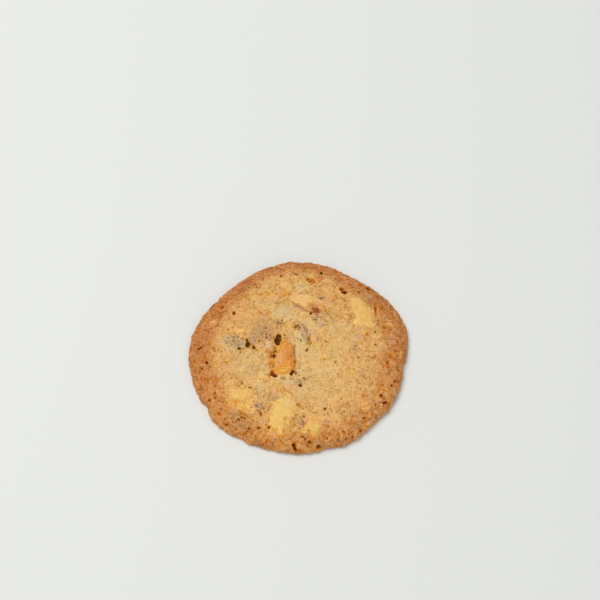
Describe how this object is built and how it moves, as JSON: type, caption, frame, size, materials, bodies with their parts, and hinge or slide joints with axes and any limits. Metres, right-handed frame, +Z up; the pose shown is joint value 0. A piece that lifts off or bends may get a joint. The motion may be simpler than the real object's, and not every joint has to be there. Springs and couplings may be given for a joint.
{
  "type": "almond tuile",
  "caption": "Round flat almond biscuit with a low domed top, a browned rounded rim, open pits and chopped almond chunks set in pockets in its top.",
  "frame": {"origin": "middle of the biscuit's box, on the surface it lies on", "axes": "+Z up through the biscuit's thickness, -Y towards the side nearest the viewer in the picture, +X to the viewer's right"},
  "size_m": [0.0706, 0.0714, 0.0082],
  "materials": {
    "baked_dough": "matt golden baked dough, browned at the rim, finely pored",
    "cream_almond": "satin pale yellow almond",
    "toasted_almond": "satin orange-brown toasted almond"
  },
  "bodies": {
    "root": {"biscuit": "baked_dough", "almond_centre_toasted": "toasted_almond", "almond_upper_middle": "cream_almond", "almond_upper_right": "cream_almond", "almond_lower_middle": "cream_almond", "almond_lower_right": "cream_almond"}
  },
  "joints": []
}
